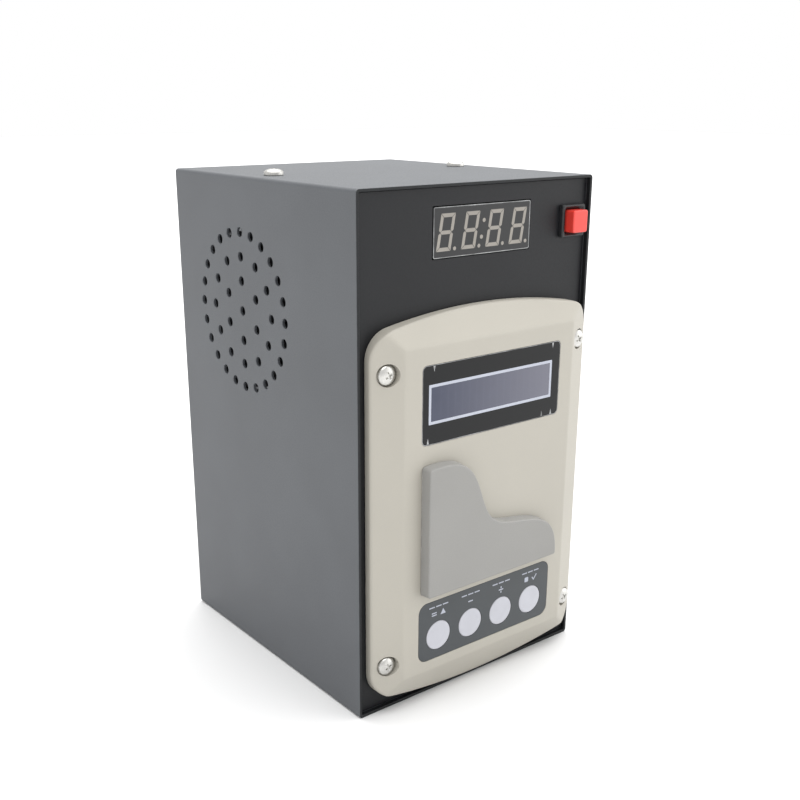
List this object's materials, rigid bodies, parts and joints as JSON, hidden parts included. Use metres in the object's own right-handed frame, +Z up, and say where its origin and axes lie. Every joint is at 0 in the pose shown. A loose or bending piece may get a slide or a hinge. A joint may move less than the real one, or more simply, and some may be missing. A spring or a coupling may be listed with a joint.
{
  "type": "payment control box",
  "caption": "Desktop payment control box: steel sleeve and panels, front bezel with text display, raised card pad and keys, digit display, red push button, speaker holes and mains inlet.",
  "frame": {"origin": "middle of the sleeve's flat bottom face, on the surface the box stands on", "axes": "+X to the right seen from the front, -Y out of the front panel, +Z up"},
  "size_m": [0.121, 0.1579, 0.2127],
  "materials": {
    "powder_coat": "matte",
    "panel_coat": "satin",
    "zinc_steel": "satin",
    "bezel_plastic": "satin",
    "pad_plastic": "matte",
    "label_film": "satin",
    "key_plastic": "satin",
    "lens_plastic": "gloss",
    "display_glass": "gloss",
    "led_plastic": "satin",
    "black_plastic": "satin",
    "red_plastic": "satin",
    "circuit_board": "satin",
    "plated_metal": "satin",
    "contact_metal": "gloss",
    "foam_paper": "matte",
    "magnet_ferrite": "matte",
    "copper_wire": "satin",
    "fuse_glass": "gloss",
    "cable_jacket": "matte"
  },
  "bodies": {
    "enclosure": {"outer_sleeve": "powder_coat", "front_panel": "panel_coat", "floor_tray": "panel_coat", "rear_panel": "panel_coat", "tie_rail_left": "zinc_steel", "tie_rail_right": "zinc_steel", "top_screw_left": "zinc_steel", "top_screw_right": "zinc_steel", "rear_screw_1": "zinc_steel", "rear_screw_2": "zinc_steel", "rear_screw_3": "zinc_steel", "rear_screw_4": "zinc_steel", "front_bezel": "bezel_plastic", "bezel_screw_1": "zinc_steel", "bezel_screw_2": "zinc_steel", "bezel_screw_3": "zinc_steel", "bezel_screw_4": "zinc_steel", "lcd_lens": "lens_plastic", "lcd_frame": "plated_metal", "lcd_glass": "display_glass", "lcd_board": "circuit_board", "key_label": "label_film", "key_board": "circuit_board", "tact_switch_1": "black_plastic", "tact_switch_2": "black_plastic", "tact_switch_3": "black_plastic", "tact_switch_4": "black_plastic", "card_pad": "pad_plastic", "antenna_board": "circuit_board", "led_display": "led_plastic", "led_board": "circuit_board", "button_housing": "black_plastic", "button_spring": "zinc_steel", "speaker_gasket": "foam_paper", "speaker_basket": "plated_metal", "speaker_cone": "foam_paper", "speaker_magnet": "magnet_ferrite", "main_board": "circuit_board", "relay": "black_plastic", "capacitor": "black_plastic", "processor_chip": "black_plastic", "terminal_block": "circuit_board", "transformer_core": "plated_metal", "transformer_coil": "copper_wire", "inlet_housing": "black_plastic", "inlet_pin_live": "contact_metal", "inlet_pin_neutral": "contact_metal", "inlet_pin_earth": "contact_metal", "cable_gland": "black_plastic", "gland_nut": "black_plastic", "rating_plate": "plated_metal", "lcd_ribbon": "cable_jacket"},
    "button_cap": {"button_cap": "red_plastic"},
    "key_1": {"key_1": "key_plastic"},
    "key_2": {"key_2": "key_plastic"},
    "key_3": {"key_3": "key_plastic"},
    "key_4": {"key_4": "key_plastic"},
    "power_rocker": {"power_rocker": "red_plastic"},
    "fuse_drawer": {"fuse_drawer": "black_plastic", "fuse": "fuse_glass"}
  },
  "joints": [
    {"name": "red_button_press", "type": "slide", "parent": "enclosure", "child": "button_cap", "axis": [0, 1, 0], "range_m": [0, 0.0025], "stiffness_N_per_m": 600, "springref_m": -0.0005, "deforming": ["button_spring"]},
    {"name": "key_1_press", "type": "slide", "parent": "enclosure", "child": "key_1", "axis": [0, 1, 0], "range_m": [0, 0.0006], "stiffness_N_per_m": 1500, "springref_m": -0.0002},
    {"name": "key_2_press", "type": "slide", "parent": "enclosure", "child": "key_2", "axis": [0, 1, 0], "range_m": [0, 0.0006], "stiffness_N_per_m": 1500, "springref_m": -0.0002},
    {"name": "key_3_press", "type": "slide", "parent": "enclosure", "child": "key_3", "axis": [0, 1, 0], "range_m": [0, 0.0006], "stiffness_N_per_m": 1500, "springref_m": -0.0002},
    {"name": "key_4_press", "type": "slide", "parent": "enclosure", "child": "key_4", "axis": [0, 1, 0], "range_m": [0, 0.0006], "stiffness_N_per_m": 1500, "springref_m": -0.0002},
    {"name": "power_rocker_tilt", "type": "hinge", "parent": "enclosure", "child": "power_rocker", "pos_m": [-0.022, 0.0647, 0.0765], "axis": [0, 0, 1], "range_deg": [-24.8, 0]},
    {"name": "fuse_drawer_pull", "type": "slide", "parent": "enclosure", "child": "fuse_drawer", "axis": [0, 1, 0], "range_m": [0, 0.02]}
  ]
}
